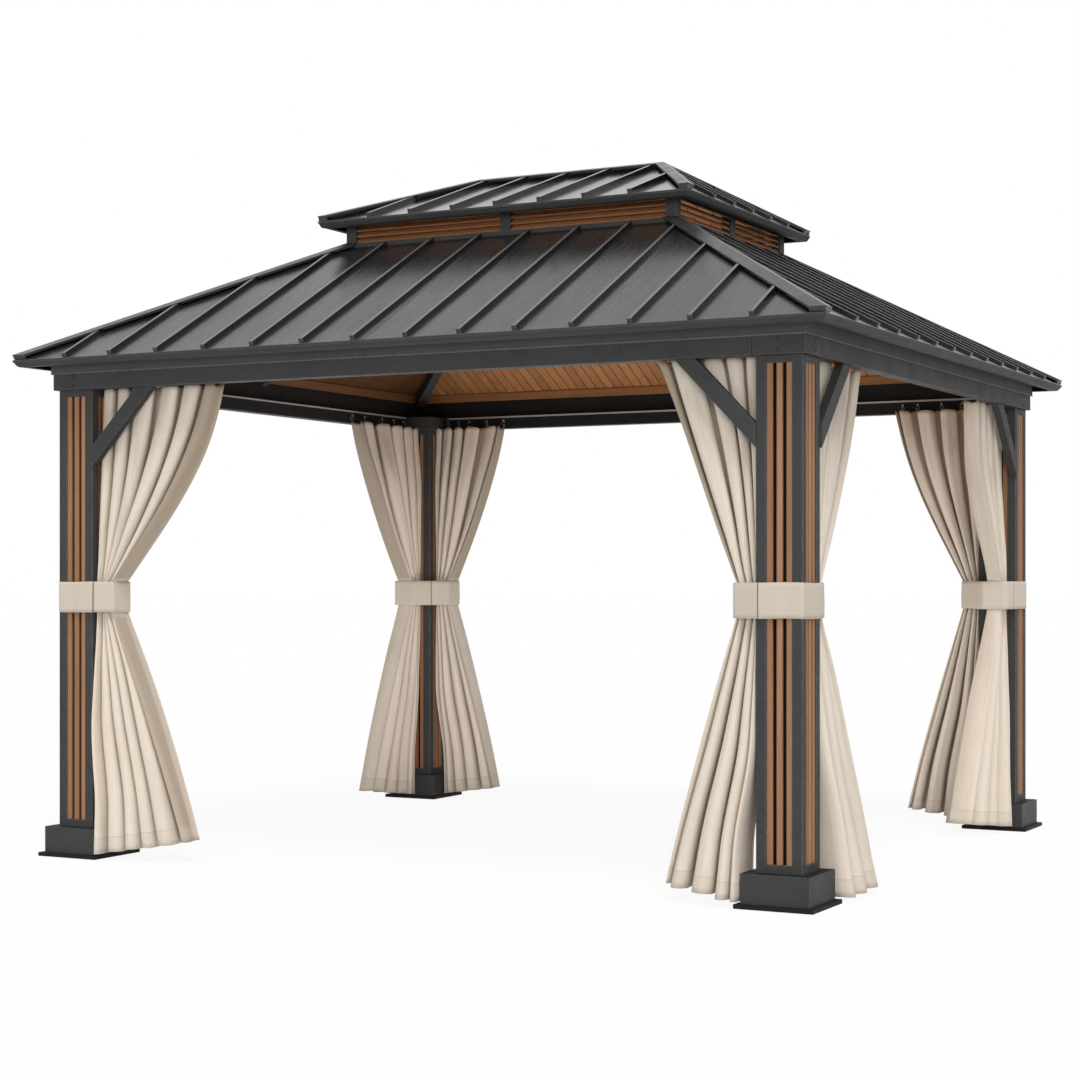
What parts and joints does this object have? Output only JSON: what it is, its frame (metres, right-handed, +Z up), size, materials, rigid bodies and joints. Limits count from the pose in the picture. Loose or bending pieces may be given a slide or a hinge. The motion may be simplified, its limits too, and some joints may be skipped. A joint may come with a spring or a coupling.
{
  "type": "metal gazebo",
  "caption": "Rectangular metal garden gazebo with slatted posts, knee braces, a two-tier standing-seam hip roof with a louvred cupola, and tied-back curtains.",
  "frame": {"origin": "middle of the footprint on the ground", "axes": "+X along the long side, +Y from the front to the back, +Z up"},
  "size_m": [3.6906, 3.3006, 3.0501],
  "materials": {
    "frame": "matt charcoal powder coat",
    "roof": "satin grey coated steel with a fine grain",
    "slat": "satin brown",
    "ceiling": "satin brown boards",
    "track": "satin",
    "curtain": "woven beige cloth",
    "tie_band": "woven beige cloth"
  },
  "bodies": {
    "root": {"foot_plates": "frame", "base_covers": "frame", "post_front_left": "frame", "post_front_right": "frame", "post_back_left": "frame", "post_back_right": "frame", "post_slats": "slat", "corner_blocks": "frame", "front_beam": "frame", "right_beam": "frame", "back_beam": "frame", "left_beam": "frame", "knee_braces": "frame", "curtain_tracks": "track", "friezes": "frame", "eave_trims": "frame", "front_roof": "roof", "right_roof": "roof", "back_roof": "roof", "left_roof": "roof", "lower_hip_caps": "roof", "ceilings": "ceiling", "rafters": "frame", "cupola_curb": "frame", "cupola_posts": "frame", "cupola_head": "frame", "louvre_slats": "slat", "upper_front_roof": "roof", "upper_right_roof": "roof", "upper_back_roof": "roof", "upper_left_roof": "roof", "upper_hip_caps": "roof", "ridge_cap": "roof", "upper_eave_trims": "frame", "upper_ceilings": "ceiling", "curtain_front_left": "curtain", "curtain_front_right": "curtain", "curtain_back_left": "curtain", "curtain_back_right": "curtain", "curtain_left_front": "curtain", "curtain_right_front": "curtain", "curtain_left_back": "curtain", "curtain_right_back": "curtain", "tie_band_front_left": "tie_band", "tie_band_front_right": "tie_band", "tie_band_back_left": "tie_band", "tie_band_back_right": "tie_band"}
  },
  "joints": []
}
